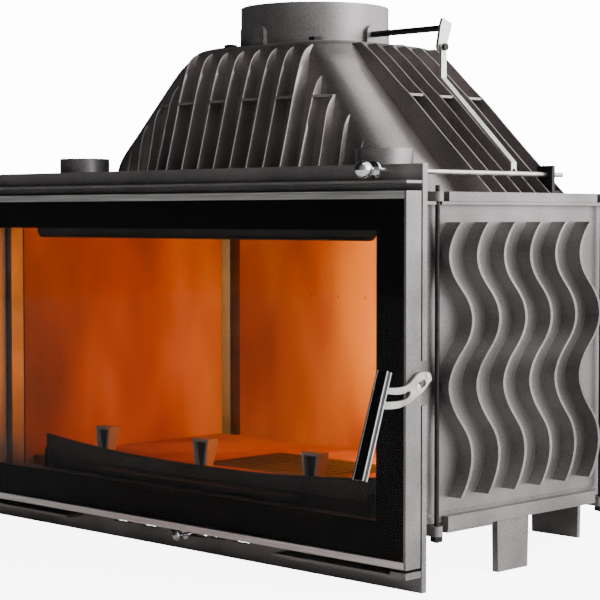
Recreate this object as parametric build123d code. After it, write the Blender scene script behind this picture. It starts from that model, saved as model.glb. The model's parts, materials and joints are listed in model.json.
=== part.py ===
"""Cast-iron fireplace insert, in millimetres.

X runs across the front and is zero on the stove's middle plane. Z is up and is zero on the floor.
While the pieces are drawn, Y is zero on the front face of the front plate and grows towards the back.
save() moves every piece by ORIGIN_Y, so the finished part has its origin under the middle of its box.
"""
from build123d import *
from math import cos, sin, radians
import os

os.makedirs("parts", exist_ok=True)

# Fits
RUN = 0.06            # radial clearance of a pin that turns or slides in its hole
SEAM = 0.4            # visible joint between two castings
LOOSE = 0.2           # radial clearance of a bolt or a tie rod in its hole

# Fire opening and the thickness of what lies round it
MOUTH_X = 350.0       # half width of the fire opening
MOUTH_Z1 = 408.0
LINING_T = 28.0       # side lining
WALL = 7.0
PLATE_LIP = 21.0      # the front plate reaches this far past the side walls

# Front plate
BODY_X = MOUTH_X + LINING_T + WALL         # outer face of the side walls
IN_X = BODY_X - WALL
PLATE_X = BODY_X + PLATE_LIP               # half width
PLATE_H = MOUTH_Z1 + 70.0
PLATE_T = 7.8
JAMB_Y = 20.0         # how far the edge of the opening turns inwards
JAMB_T = 7.0
SILL_X = 202.0
SILL_H = 1.4
SKIRT_X = 195.7       # half width of the air skirt at the foot of the plate
SKIRT_H = 44.0
LATCH_Z = (209.5, 259.5)
LATCH_X = PLATE_X - 13.0

# Door
DOOR_X = PLATE_X - 0.7
DOOR_Z0 = 28.9
DOOR_Z1 = MOUTH_Z1 + 39.8
DOOR_FRONT = -26.3
DOOR_BACK = -1.5
RIM_T = 3.4
WEB_T = 3.5           # flat part of the door frame, behind the glass
INNER_RIM_T = 3.2
INSIDE = DOOR_X - RIM_T
STRIP_H = 8.7
GLASS_T = 4.0
GLASS_GAP = 0.3
PRINT_T = 0.5
CLEAR_X = MOUTH_X + 7.0                    # half width of the clear part of the glass
CLEAR_Z = (78.0, MOUTH_Z1 - 4.0)
FRAME_EDGE = 4.0      # the door frame's opening is this much larger than the clear glass
HINGE_X = -(PLATE_X - 9.0)
HINGE_Y = -12.5
HINGE_R = 3.5
HINGE_BLOCK_X = 12.0  # a hinge block reaches this far past the pin
SWING_GAP = 0.8       # the turning door corner clears the plate by this much
SEAL_X = MOUTH_X + 26.5                    # outer edge of the rope seal
SEAL_Z = (58.0, MOUTH_Z1 + 16.0)
SEAL_W = 12.0
SEAL_T = 7.5

# Body
RIM_X = BODY_X + 9.0                       # outer edge of the top and bottom plates
BODY_Z0 = 62.6
FLOOR_Z = 70.5        # top of the base plate, level with the lower edge of the opening
RIM_Z = 78.0
TOP_Z0 = MOUTH_Z1 + 28.3
TOP_Z = TOP_Z0 + 11.2
BACK_Y = 421.5        # outer face of the back wall
CORNER = 34.0         # the back corners are cut off by this much
EAVES = 3.5           # the plates reach this far past the walls at the back
REAR_Y = BACK_Y - 41.5                     # the side walls end here
NOTCH_Y = (59.6, BACK_Y - 79.0)
TIE_X = BODY_X + 6.5
TIE_Y = (42.0, BACK_Y - 65.5)
TIE_R = 2.8
LUG_R = 7.0
FOOT_DROP = 5.0       # the tie rods' lugs hang this far under the base plate

# Hood on the top plate
FLUE_Y = 245.3
HOOD_WALL = 8.0
FIN_X = (15.3, 45.9, 76.5, 107.1, 134.0, 161.0, 188.9, 216.7)     # front fins of one half
SIDE_FIN_PITCH = 28.4
FIN_T = 4.0
WEB_UP = (121.2, 122.5)                    # height of the webs at the front and the sides
HOOD_WEB_T = 3.0
HOOD_TOP = TOP_Z + 196.0

# Flue collar and damper
COLLAR_R = 99.0
COLLAR_WALL = 6.0
COLLAR_BORE = COLLAR_R - COLLAR_WALL
COLLAR_TOP = HOOD_TOP + 53.3
COLLAR_SEAT = HOOD_TOP - 9.5               # the collar stands this low in the hood's top
COLLAR_FOOT_R = COLLAR_R + 1.0
COLLAR_SHOULDER = HOOD_TOP + 25.5
BOSS_R = 10.5
BOSS_OUT = COLLAR_R + 7.0
BOLT_RING = COLLAR_R + 14.0
COLLAR_BOLT_R = 4.0
SHAFT_R = 4.0
SHAFT_Z = HOOD_TOP + 13.0
CRANK_L = 26.0
CRANK_TILT = 17.0     # degrees that the crank leans forward of straight down
CRANK_PIN_R = 3.0
DAMPER_TILT = 13.0    # degrees that the damper disc stands open
DISC_R = COLLAR_BORE - 1.5
DISC_T = 4.0
SHAFT_FLAT = 2.0      # height of the flat that the disc lies on, above the shaft's axis

# Pull rod of the damper, and the link from the crank to the rod
PULL_X = PLATE_X - 54.8
PULL_Z = PLATE_H - 7.0
PULL_R = 3.0
KNOB_R = 10.2
LINK_X = 231.0
LINK_FOOT_X = PULL_X - 8.5
LINK_W = 10.0
LINK_T = 3.0

# Air spigots on the top plate
SPIGOT = (280.6, 75.2)
SPIGOT_R = 34.1
SPIGOT_WALL = 4.1
SPIGOT_BORE = SPIGOT_R - SPIGOT_WALL
SPIGOT_TOP = TOP_Z + 51.4
SPIGOT_FOOT = TOP_Z + 12.0

# Lining
LINING_X = MOUTH_X
LINING_BACK = BACK_Y - WALL - 9.5
LINING_TOP = TOP_Z0 - 11.3
HEARTH_Z = 84.0
GRATE_X = 118.0
GRATE_Y = (142.0, 298.0)
GRATE_T = 5.0
GRATE_LEDGE = 8.0
POST_X = 196.0

# Handle
LEVER_X = (DOOR_X + 2.2, DOOR_X + 5.7)
PIVOT = (-12.4, 231.6)
LATCH_PIN = (4.2, 243.6)
LATCH_PIN_R = 2.9
SCREW_R = 2.2
BAR_X = (DOOR_X - 4.5, DOOR_X + 11.2)
BAR_TOP = (-65.5, 252.0)
BAR_TILT = 18.8
BAR_L = 121.0
BAR_T = 7.5
TRIM = 1.6
TRIM_PROUD = 0.4

ORIGIN_Y = 158.0


def block(x0, x1, y0, y1, z0, z1):
    box = Box(x1 - x0, y1 - y0, z1 - z0, align=(Align.MIN,) * 3)
    return Pos(x0, y0, z0) * box


def rod(axis, r, a, b, centre):
    """Cylinder along an axis from a to b. centre holds the two other coordinates, in X, Y, Z order."""
    c = Cylinder(r, b - a, align=(Align.CENTER, Align.CENTER, Align.MIN))
    if axis == "z":
        return Pos(centre[0], centre[1], a) * c
    if axis == "y":
        return Pos(centre[0], a, centre[1]) * Rot(-90, 0, 0) * c
    return Pos(a, centre[0], centre[1]) * Rot(0, 90, 0) * c


def hexagon(across, z0, z1, x, y):
    face = RegularPolygon(across / 2, 6, major_radius=False)
    return Pos(x, y, z0) * extrude(face, z1 - z0)


def prism(axis, points, a, b):
    """Solid with the outline given by points, from a to b along an axis."""
    if axis == "x":
        corners = [(a, p, q) for p, q in points]
        way = (b - a, 0, 0)
    elif axis == "y":
        corners = [(p, a, q) for p, q in points]
        way = (0, b - a, 0)
    else:
        corners = [(p, q, a) for p, q in points]
        way = (0, 0, b - a)
    return Solid.extrude(Face(Wire.make_polygon(corners, close=True)), Vector(*way))


def curved_prism(axis, curve, rest, a, b):
    """Like prism, with a smooth edge through the points of curve and straight edges along rest."""
    place = {"x": lambda p, q: (a, p, q), "y": lambda p, q: (p, a, q)}[axis]
    way = {"x": (b - a, 0, 0), "y": (0, b - a, 0)}[axis]
    corners = [curve[-1]] + rest + [curve[0]]
    edges = [Edge.make_spline([Vector(*place(*p)) for p in curve])]
    for p, q in zip(corners, corners[1:]):
        edges.append(Edge.make_line(place(*p), place(*q)))
    return Solid.extrude(Face(Wire(edges)), Vector(*way))


def both(shape):
    """The shape and its mirror image in the middle plane."""
    return [shape, mirror(shape, about=Plane.YZ)]


def fuse(shapes):
    first, *others = list(shapes)
    return first.fuse(*others) if others else first


def group(shapes):
    return Compound(children=[s for s in shapes])


def save(shape, name):
    export_step(Pos(0, -ORIGIN_Y, 0) * shape, f"parts/{name}.step")


def ring_xz(x0, x1, z0, z1, inner, y0, y1):
    """Upright frame: outer rectangle, and inner = (x half width, z low, z high)."""
    hole = block(-inner[0], inner[0], y0 - 1, y1 + 1, inner[1], inner[2])
    return block(x0, x1, y0, y1, z0, z1) - hole


# Front plate with its ledges and the turned-in edge of the opening
plate = block(-PLATE_X, PLATE_X, 0, PLATE_T, 0, PLATE_H)
jamb = block(-MOUTH_X - JAMB_T, MOUTH_X + JAMB_T, PLATE_T, JAMB_Y, FLOOR_Z, MOUTH_Z1 + JAMB_T)
ledges = [block(-DOOR_X, DOOR_X, DOOR_FRONT, 0, DOOR_Z1 + 8.2, DOOR_Z1 + 11.4)]
for side in (-1, 1):
    thin = sorted((side * SKIRT_X, side * (DOOR_X - 22.3)))
    thick = sorted((side * (DOOR_X - 23.3), side * DOOR_X))
    ledges.append(block(*thin, DOOR_FRONT, 0, DOOR_Z0 - 10.6, DOOR_Z0 - 6.9))
    ledges.append(block(*thick, DOOR_FRONT, 0, DOOR_Z0 - 10.8, DOOR_Z0 - 3.4))
front_plate = fuse([plate, jamb] + ledges)
front_plate -= block(-MOUTH_X, MOUTH_X, -1, JAMB_Y + 1, FLOOR_Z, MOUTH_Z1)
sills = []
for side in (-1, 1):
    span = sorted((side * SILL_X, side * MOUTH_X))
    sills.append(block(*span, 0, PLATE_T, FLOOR_Z - 1, FLOOR_Z + SILL_H))
front_plate = front_plate.fuse(*sills)
front_plate -= block(-SKIRT_X, SKIRT_X, -1, PLATE_T + 1, -1, SKIRT_H)
front_plate -= block(LATCH_X, PLATE_X + 1, -1, PLATE_T + 1, *LATCH_Z)
front_plate -= rod("y", PULL_R + RUN, -1, PLATE_T + 1, (PULL_X, PULL_Z))
for z in (DOOR_Z0 - 18.9, DOOR_Z1 + 2.2):
    front_plate -= rod("z", HINGE_R, z, z + 20, (HINGE_X, HINGE_Y))
save(front_plate, "front_plate")

# Air skirt at the foot of the plate, with its slots
AIR_SLOTS = [(-130.0, -89.6), (-75.6, -45.0), (58.0, 87.0), (98.5, 128.7)]
skirt = block(-SKIRT_X + SEAM, SKIRT_X - SEAM, 0, PLATE_T, 0, SKIRT_H - SEAM)
for x0, x1 in AIR_SLOTS:
    slot = block(x0, x1, -1, PLATE_T + 1, 20.0, 32.0)
    skirt -= fillet(slot.edges().filter_by(Axis.Y), 2.5)
stem_slot = block(-16.0, 52.0, -1, PLATE_T + 1, 18.0, 25.0)
skirt -= fillet(stem_slot.edges().filter_by(Axis.Y), 3.0)
save(skirt, "air_skirt")

# Sliding air shutter behind the skirt, and its knob
SHUTTER_Y = (PLATE_T + 0.1, PLATE_T + 2.4)
RAIL_Y = (PLATE_T, PLATE_T + 4.0)
RAIL_X = 190.0
KNOB_X = 22.7
KNOB_Z = 21.3
shutter = block(-158.0, 158.0, *SHUTTER_Y, 14.1, 37.9)
for x0, x1 in [(-135.0, -112.0), (-78.0, -42.0), (36.0, 61.0), (96.0, 131.0)]:
    shutter -= block(x0, x1, SHUTTER_Y[0] - 1, SHUTTER_Y[1] + 1, 19.0, 33.0)
save(shutter, "air_shutter")
stem = rod("y", 2.5, -18.0, SHUTTER_Y[0], (KNOB_X, KNOB_Z))
rosette = rod("y", 6.3, -10.0, -7.0, (KNOB_X, KNOB_Z))
ball = Pos(KNOB_X, -23.0, KNOB_Z) * Sphere(6.5)
save(fuse([ball, rosette, stem]), "air_knob")
rails = []
for z0, z1, lip0, lip1 in ((11.5, 14.0, 14.0, 16.5), (38.0, 40.5, 35.5, 38.0)):
    rail = block(-RAIL_X, RAIL_X, *RAIL_Y, z0, z1)
    rails.append(rail.fuse(block(-RAIL_X, RAIL_X, PLATE_T + 2.5, RAIL_Y[1], lip0, lip1)))
save(group(rails), "shutter_rails")


# Top and bottom plates
def plate_outline(edge):
    """Half outline of the plates, from the front to the back; edge is the band's X."""
    rear = BODY_X + EAVES
    back = BACK_Y + EAVES
    cut = CORNER + 1.5
    step = REAR_Y - 11.0
    return [
        (IN_X, PLATE_T), (IN_X, NOTCH_Y[0]), (edge, NOTCH_Y[0]), (edge, NOTCH_Y[1]), (IN_X, NOTCH_Y[1]),
        (IN_X, step), (rear, step), (rear, back - cut), (rear - cut, back),
    ]


def whole_outline(half):
    return half + [(-x, y) for x, y in reversed(half)]


def lugs(z0, z1):
    """Ears that the tie rods pass through."""
    out = []
    for y in TIE_Y:
        ear = block(IN_X - 2, TIE_X, y - LUG_R, y + LUG_R, z0, z1)
        out += both(ear.fuse(rod("z", LUG_R, z0, z1, (TIE_X, y))))
    return out


def tie_holes(z0, z1):
    return [s for y in TIE_Y for s in both(rod("z", TIE_R + LOOSE, z0, z1, (TIE_X, y)))]


OUTLINE = whole_outline(plate_outline(RIM_X))
INNER_OUTLINE = whole_outline(
    [(BODY_X + 0.8, PLATE_T - 1), (BODY_X + 0.8, BACK_Y - CORNER), (BODY_X - CORNER, BACK_Y + 0.8)]
)
base = prism("z", OUTLINE, BODY_Z0, RIM_Z) - prism("z", INNER_OUTLINE, FLOOR_Z, RIM_Z + 1)
lips = both(block(BODY_X - 3, RIM_X - 3, NOTCH_Y[0] + 2.4, 144.0, BODY_Z0 - 4.1, BODY_Z0))
base = base.fuse(*lips, *lugs(BODY_Z0 - FOOT_DROP - 0.1, FLOOR_Z - 1.5))
for hole in tie_holes(BODY_Z0 - 12, RIM_Z + 12):
    base -= hole
SHAFT_IN = GRATE_LEDGE + 10.0          # the air shaft lies this far inside the grate's edge
base -= block(
    -GRATE_X + SHAFT_IN, GRATE_X - SHAFT_IN, GRATE_Y[0] + SHAFT_IN, GRATE_Y[1] - SHAFT_IN,
    BODY_Z0 - 1, FLOOR_Z + 1,
)
save(base, "base_plate")

THROAT = (280.0, 120.0)                    # half width and half depth of the hole under the hood
top = prism("z", OUTLINE, TOP_Z0, TOP_Z)
top = top.fuse(*lugs(TOP_Z0, TOP_Z))
top -= block(-THROAT[0], THROAT[0], FLUE_Y - THROAT[1], FLUE_Y + THROAT[1], TOP_Z0 - 1, TOP_Z + 1)
for hole in tie_holes(TOP_Z0 - 1, TOP_Z + 1):
    top -= hole
for hole in both(rod("z", SPIGOT_BORE, TOP_Z0 - 1, TOP_Z + 1, SPIGOT)):
    top -= hole
save(top, "top_plate")

spigot = rod("z", SPIGOT_R, TOP_Z, SPIGOT_TOP, SPIGOT)
spigot = spigot.fuse(rod("z", SPIGOT_R + 0.5, TOP_Z, SPIGOT_FOOT, SPIGOT))
spigot -= rod("z", SPIGOT_BORE, TOP_Z - 1, SPIGOT_TOP + 1, SPIGOT)
left_and_right = both(spigot)
save(left_and_right[0], "right_spigot")
save(left_and_right[1], "left_spigot")

# Tie rods down the four corners
NUT_Z = BODY_Z0 - FOOT_DROP - 0.1
NUT_H = 6.0
ties = []
nuts = []
for y in TIE_Y:
    ties += both(rod("z", TIE_R, NUT_Z - NUT_H - 1.5, TOP_Z + 7.1, (TIE_X, y)))
    nut = hexagon(13.0, NUT_Z - NUT_H, NUT_Z, TIE_X, y)
    nut -= rod("z", TIE_R + LOOSE, NUT_Z - NUT_H - 1, NUT_Z + 1, (TIE_X, y))
    nuts += both(nut)
save(group(ties), "tie_rods")
save(group(nuts), "tie_nuts")

# Side walls with their wavy fins
WAVE_Z = (RIM_Z + 21.2, TOP_Z0 - 23.3)     # lower and upper end of the fins
WAVE = [
    (0.0, 1.5), (24.8, 16.0), (45.8, 20.0), (66.8, 15.0), (86.8, 0.0), (107.8, -15.0),
    (127.4, -20.5), (145.8, -15.0), (164.8, 0.0), (182.8, 15.0), (201.8, 20.5), (220.8, 15.0),
    (238.8, 0.0), (256.8, -15.0), (275.8, -20.5), (295.8, -14.5), (313.8, 0.0),
]
FIN_Y0 = 66.0
FIN_STEP = 49.0
FIN_OUT = BODY_X + 20.8
WAVE_FIN_T = 4.6


def wave_fin(y):
    """One fin: a wavy ribbon in the YZ plane, standing out of the wall and as long as WAVE_Z says."""
    x = BODY_X - 2
    stretch = (WAVE_Z[1] - WAVE_Z[0]) / WAVE[-1][0]
    line = [(y + w, WAVE_Z[0] + up * stretch) for up, w in WAVE]
    near = Edge.make_spline([Vector(x, p, z) for p, z in line])
    far = Edge.make_spline([Vector(x, p + WAVE_FIN_T, z) for p, z in line])
    ends = []
    for p, z in (line[0], line[-1]):
        ends.append(Edge.make_line((x, p, z), (x, p + WAVE_FIN_T, z)))
    face = Face(Wire([near, ends[1], far, ends[0]]))
    return Solid.extrude(face, Vector(FIN_OUT - x, 0, 0))


wall = block(IN_X, BODY_X, PLATE_T, REAR_Y, FLOOR_Z, TOP_Z0 - 3.3)
wall -= block(BODY_X - 3, BODY_X + 1, PLATE_T - 1, REAR_Y + 1, RIM_Z, RIM_Z + 4.5)
wall = wall.fuse(block(IN_X, RIM_X, PLATE_T, REAR_Y - 12.0, TOP_Z0 - 3.7, TOP_Z0))
for y in TIE_Y:
    wall -= block(BODY_X - 0.5, RIM_X + 1, y - 5.0, y + 5.0, TOP_Z0 - 6.3, TOP_Z0 + 1)
wall = wall.fuse(*[wave_fin(FIN_Y0 + FIN_STEP * k) for k in range(6)])
right_wall, left_wall = both(wall)
save(right_wall, "right_wall")
save(left_wall, "left_wall")

# Back wall, bent round the cut-off corners
rear_half = [(BODY_X, REAR_Y), (BODY_X, BACK_Y - CORNER), (BODY_X - CORNER, BACK_Y)]
K = WALL * (2 ** 0.5 - 1)
rear_inner = [
    (IN_X, REAR_Y - 1),
    (IN_X, BACK_Y - CORNER - K),
    (BODY_X - CORNER - K, BACK_Y - WALL),
]
back_wall = prism("z", whole_outline(rear_half), FLOOR_Z, TOP_Z0)
back_wall -= prism("z", whole_outline(rear_inner), FLOOR_Z - 1, TOP_Z0 + 1)
save(back_wall, "back_wall")

# Feet
front_outline = [(155.0, BODY_Z0), (215.0, BODY_Z0), (213.0, 0), (156.5, 0)]
front_foot = prism("x", front_outline, BODY_X - 5.0, BODY_X + 4.0)
save(group(both(front_foot)), "front_feet")
rear_outline = [(239.0, BODY_Z0), (316.0, BODY_Z0), (314.7, 0), (240.0, 0)]
rear_foot = prism("y", rear_outline, BACK_Y - 8.0, BACK_Y - 1.5)
save(group(both(rear_foot)), "rear_feet")

# Hood: a hollow casting with upright fins on its front and its sides.
# Each row is the height above the top plate, half width, half depth and corner radius.
HOOD = [
    (0.0, 313.0, 152.0, 100.0),
    (52.5, 264.3, 142.3, 50.0),
    (151.5, 172.3, 124.1, 34.0),
    (170.5, 156.5, 121.0, 38.0),
    (183.5, 144.8, 118.6, 48.0),
    (191.5, 136.5, 115.5, 52.0),
    (HOOD_TOP - TOP_Z, 126.0, 107.0, 58.0),
]
ROOF_ROW = 4          # the hollow's last row is a copy of this one, ROOF_T under the top
ROOF_T = 13.5


def hood_body(rows):
    faces = []
    for up, w, d, r in rows:
        faces.append(Pos(0, FLUE_Y, TOP_Z + up) * RectangleRounded(2 * w, 2 * d, r))
    return loft(faces, ruled=True)


def hood_void():
    """Hollow of the hood, HOOD_WALL inside its outside."""
    rows = [(up, w - HOOD_WALL, d - HOOD_WALL, r - HOOD_WALL) for up, w, d, r in HOOD[:ROOF_ROW + 1]]
    foot, last = rows[0][1:], rows[-1][1:]
    return hood_body([(-1.0, *foot), *rows[1:-1], (HOOD_TOP - ROOF_T - TOP_Z, *last)])


# Outlines of the front fins, from the bottom up: distance from the front plate, and height above the
# top plate. The four outer fins at each end are shorter, each by its own outline.
FRONT_FULL = [
    (62.8, 0.0), (72.1, 34.0), (89.1, 98.4), (94.9, 121.2), (102.8, 148.9), (109.4, 167.8),
    (114.4, 177.2), (120.3, 183.6), (129.3, 188.6),
]
FRONT_SHORT = {
    4: [(68.5, 0.0), (78.3, 34.0), (95.3, 96.6), (99.4, 109.9), (103.1, 122.4), (110.0, 137.2),
        (117.6, 145.7), (127.1, 150.5)],
    5: [(75.3, 0.0), (85.4, 34.2), (95.2, 80.0), (100.4, 102.8), (107.1, 115.2), (114.2, 122.2),
        (124.6, 126.5)],
    6: [(81.9, 0.0), (92.4, 34.3), (97.2, 61.1), (101.4, 79.7), (106.4, 90.8), (113.2, 97.6),
        (124.7, 101.6)],
    7: [(89.1, 0.0), (98.5, 34.4), (103.6, 57.4), (109.5, 70.3), (116.6, 77.6), (127.5, 81.9)],
}
# Outline of the side fins: distance from the middle plane, and height above the top plate
SIDE_TIP = [
    (363.5, 0.0), (336.9, 24.9), (281.9, 76.6), (238.2, 118.5), (216.8, 136.7),
    (183.3, 167.0), (174.5, 174.5), (165.5, 181.5), (152.0, 190.7),
]
SIDE_FINS = 6
FRONT_INNER = 160.0   # the fins end inside the wall of the hood
SIDE_INNER = 110.0


def raised(outline):
    return [(out, TOP_Z + up) for out, up in outline]


def front_fin(k):
    """Fin number k, counted from the middle to the right."""
    tip = raised(FRONT_SHORT.get(k, FRONT_FULL))
    x = FIN_X[k]
    rest = [(FRONT_INNER, tip[-1][1]), (FRONT_INNER, TOP_Z)]
    return curved_prism("x", tip, rest, x - FIN_T / 2, x + FIN_T / 2)


def side_fin_y(k):
    return FLUE_Y + (k - (SIDE_FINS - 1) / 2) * SIDE_FIN_PITCH


def side_fin(k):
    y = side_fin_y(k)
    tip = raised(SIDE_TIP)
    rest = [(SIDE_INNER, tip[-1][1]), (SIDE_INNER, TOP_Z)]
    return curved_prism("y", tip, rest, y - FIN_T / 2, y + FIN_T / 2)


hood = hood_body(HOOD)
extras = []
for k in range(len(FIN_X)):
    extras += both(front_fin(k))
web_z = [(TOP_Z + up - HOOD_WEB_T / 2, TOP_Z + up + HOOD_WEB_T / 2) for up in WEB_UP]
for k, near, far in ((0, 94.7, 94.7), (2, 94.7, 94.7), (4, 102.0, 111.5)):
    x0, x1 = FIN_X[k:k + 2]
    web = [(x0, near), (x1, far), (x1, FRONT_INNER), (x0, FRONT_INNER)]
    extras += both(prism("z", web, *web_z[0]))
for k in range(SIDE_FINS):
    extras += both(side_fin(k))
for k in (0, 2, 4):
    web = block(180.0, 232.0, side_fin_y(k), side_fin_y(k + 1), *web_z[1])
    extras += both(web)
hood = hood.fuse(*extras)
hood -= hood_void()
roof_z = HOOD_TOP - ROOF_T
hood -= rod("z", COLLAR_BORE, roof_z - 2, HOOD_TOP + 1, (0, FLUE_Y))
hood -= rod("z", COLLAR_FOOT_R, COLLAR_SEAT, HOOD_TOP + 1, (0, FLUE_Y))
bolt_spots = []
for a in (45, 135, 225, 315):
    bolt_spots.append((BOLT_RING * cos(radians(a)), FLUE_Y + BOLT_RING * sin(radians(a))))
for spot in bolt_spots:
    hood -= rod("z", COLLAR_BOLT_R + LOOSE, roof_z - 10, HOOD_TOP + 1, spot)
save(hood, "hood")

# Flue collar with its four bearing bosses
collar = rod("z", COLLAR_R, COLLAR_SEAT, COLLAR_TOP, (0, FLUE_Y))
collar = collar.fuse(rod("z", COLLAR_FOOT_R, COLLAR_SEAT, COLLAR_SHOULDER, (0, FLUE_Y)))
for a in (0, 90, 180, 270):
    boss = block(COLLAR_BORE + 1, BOSS_OUT, -BOSS_R, BOSS_R, HOOD_TOP + 0.5, SHAFT_Z + 1.5)
    boss = boss.fuse(rod("x", BOSS_R, COLLAR_BORE + 1, BOSS_OUT, (0, SHAFT_Z + 1.5)))
    collar = collar.fuse(Pos(0, FLUE_Y, 0) * Rot(0, 0, a) * boss)
collar -= rod("z", COLLAR_BORE, COLLAR_SEAT - 4, COLLAR_TOP + 1, (0, FLUE_Y))
collar -= rod("x", SHAFT_R + RUN, -BOSS_OUT - 4, BOSS_OUT + 4, (FLUE_Y, SHAFT_Z))
save(collar, "flue_collar")
bolts = []
for x, y in bolt_spots:
    head = hexagon(16.0, HOOD_TOP, HOOD_TOP + 6.0, x, y)
    bolts.append(head.fuse(rod("z", COLLAR_BOLT_R, HOOD_TOP - 11.5, HOOD_TOP, (x, y))))
save(group(bolts), "collar_bolts")

# Damper: shaft, disc and crank
CRANK_X = (LINK_X - 4.6, LINK_X - 0.6)
shaft = rod("x", SHAFT_R, -BOSS_OUT - 6, CRANK_X[0] + 0.1, (FLUE_Y, SHAFT_Z))
on_shaft = Pos(0, FLUE_Y, SHAFT_Z) * Rot(DAMPER_TILT, 0, 0)
disc = on_shaft * rod("z", DISC_R, SHAFT_FLAT, SHAFT_FLAT + DISC_T, (0, 0))
shaft -= on_shaft * block(-DISC_R - 0.5, DISC_R + 0.5, -SHAFT_R, SHAFT_R, SHAFT_FLAT, SHAFT_R + 1)
save(shaft, "damper_shaft")
save(disc, "damper_disc")
PIN_Y = FLUE_Y - CRANK_L * sin(radians(CRANK_TILT))
PIN_Z = SHAFT_Z - CRANK_L * cos(radians(CRANK_TILT))


def crank_part():
    """Arm drawn pointing straight down from the shaft, then tilted forward."""
    outline = [(-9.0, 9.5), (9.0, 9.5), (10.0, 0.0), (7.5, -CRANK_L), (-7.5, -CRANK_L), (-10.0, 0.0)]
    arm = prism("x", outline, *CRANK_X).fuse(rod("x", 7.5, *CRANK_X, (0, -CRANK_L)))
    arm -= rod("x", SHAFT_R, CRANK_X[0] - 1, CRANK_X[0] + 0.1, (0, 0))
    return Pos(0, FLUE_Y, SHAFT_Z) * Rot(-CRANK_TILT, 0, 0) * arm


crank = crank_part()
pivot_pin = rod("x", CRANK_PIN_R, CRANK_X[0] - 1.5, LINK_X + LINK_T + 0.2, (PIN_Y, PIN_Z))
pivot_head = rod("x", CRANK_PIN_R + 1.6, LINK_X + LINK_T + 0.2, LINK_X + LINK_T + 4.0, (PIN_Y, PIN_Z))
crank -= rod("x", CRANK_PIN_R, CRANK_X[0] - 1, LINK_X, (PIN_Y, PIN_Z))
save(crank, "damper_crank")
save(pivot_pin.fuse(pivot_head), "crank_pin")

# Link that follows the slope of the hood down to the pull rod
LINK_END = PULL_Z - 2.5
BEND = [(LINK_X, HOOD_TOP - 51.5), (LINK_FOOT_X, PULL_Z + 13.0)]
link_side = [
    (LINK_X, PIN_Z), BEND[0], BEND[1], (LINK_FOOT_X, LINK_END),
    (LINK_FOOT_X + LINK_T, LINK_END), (LINK_FOOT_X + LINK_T, BEND[1][1] + 1.3),
    (LINK_X + LINK_T, BEND[0][1] + 1.3), (LINK_X + LINK_T, PIN_Z),
]
link = prism("y", link_side, PIN_Y - LINK_W / 2, PIN_Y + LINK_W / 2)
link = link.fuse(rod("x", LINK_W / 2, LINK_X, LINK_X + LINK_T, (PIN_Y, PIN_Z)))
link -= rod("x", CRANK_PIN_R + RUN, LINK_X - 1, LINK_X + 4, (PIN_Y, PIN_Z))
FORK = 3.4
fork = block(LINK_FOOT_X - 1, LINK_FOOT_X + 4, PIN_Y - FORK, PIN_Y + FORK, PULL_Z - 5, PULL_Z + 3.0)
fork = fork.fuse(rod("x", FORK, LINK_FOOT_X - 1, LINK_FOOT_X + 4, (PIN_Y, PULL_Z + 3.0)))
link -= fork
save(link, "damper_link")

# Pull rod with its knob and the pin that the link's fork straddles
PULL_END = FLUE_Y + 80.7
GUIDE_Y = (FLUE_Y + 47.7, FLUE_Y + 53.7)
pull = rod("y", PULL_R, -30.0, PULL_END, (PULL_X, PULL_Z))
pull = pull.fuse(rod("x", 2.5, LINK_FOOT_X - 0.2, PULL_X, (PIN_Y, PULL_Z)))
save(pull, "pull_rod")
knob = Pos(PULL_X, -37.0, PULL_Z) * Sphere(KNOB_R)
knob = knob.fuse(rod("y", KNOB_R - 0.2, -21.5, -18.8, (PULL_X, PULL_Z)))
knob = knob.fuse(rod("y", 5.5, -32.0, -20.0, (PULL_X, PULL_Z)))
knob -= rod("y", PULL_R, -30.0, -10.0, (PULL_X, PULL_Z))
save(knob, "pull_knob")
GUIDE_X = (PULL_X - 13.2, PULL_X + 10.3)
guide = block(*GUIDE_X, *GUIDE_Y, TOP_Z, PULL_Z + 11.0)
guide = guide.fuse(block(*GUIDE_X, GUIDE_Y[1], GUIDE_Y[1] + 9.0, TOP_Z, TOP_Z + 3.5))
guide -= rod("y", PULL_R + RUN, GUIDE_Y[0] - 3, GUIDE_Y[1] + 3, (PULL_X, PULL_Z))
save(guide, "rod_guide")

# Lining of the fire chamber
IN_CORNER = rear_inner[1][1] - 2 * SEAM      # depth where the inside of the wall turns at 45 degrees
LINING_Y = (JAMB_Y + 2.0, LINING_BACK - 6.0)
side_lining = [
    (LINING_X, LINING_Y[0]), (IN_X, LINING_Y[0]), (IN_X, IN_CORNER),
    (IN_X + IN_CORNER - LINING_Y[1], LINING_Y[1]), (LINING_X, LINING_Y[1]),
]
right_lining, left_lining = both(prism("z", side_lining, FLOOR_Z, LINING_TOP))
save(right_lining, "right_lining")
save(left_lining, "left_lining")
back_lining = block(-MOUTH_X + 34.0, MOUTH_X - 34.0, LINING_BACK, BACK_Y - WALL, FLOOR_Z, LINING_TOP)
for k in range(-3, 4):
    back_lining -= rod("y", 2.6, LINING_BACK - 1, LINING_BACK + 9.0, (54.5 * k, 302.5))
save(back_lining, "back_lining")
hearth = block(-LINING_X, LINING_X, 36.0, LINING_BACK, FLOOR_Z, HEARTH_Z)
hearth -= block(
    -GRATE_X + GRATE_LEDGE, GRATE_X - GRATE_LEDGE, GRATE_Y[0] + GRATE_LEDGE, GRATE_Y[1] - GRATE_LEDGE,
    FLOOR_Z - 1, HEARTH_Z + 1,
)
hearth -= block(-GRATE_X, GRATE_X, *GRATE_Y, HEARTH_Z - GRATE_T, HEARTH_Z + 1)
notch = block(MOUTH_X - 32, MOUTH_X + 2, LINING_BACK - 7, LINING_BACK + 5, FLOOR_Z - 1, HEARTH_Z + 1)
hearth -= fuse(both(notch))
save(hearth, "hearth_slab")
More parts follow.
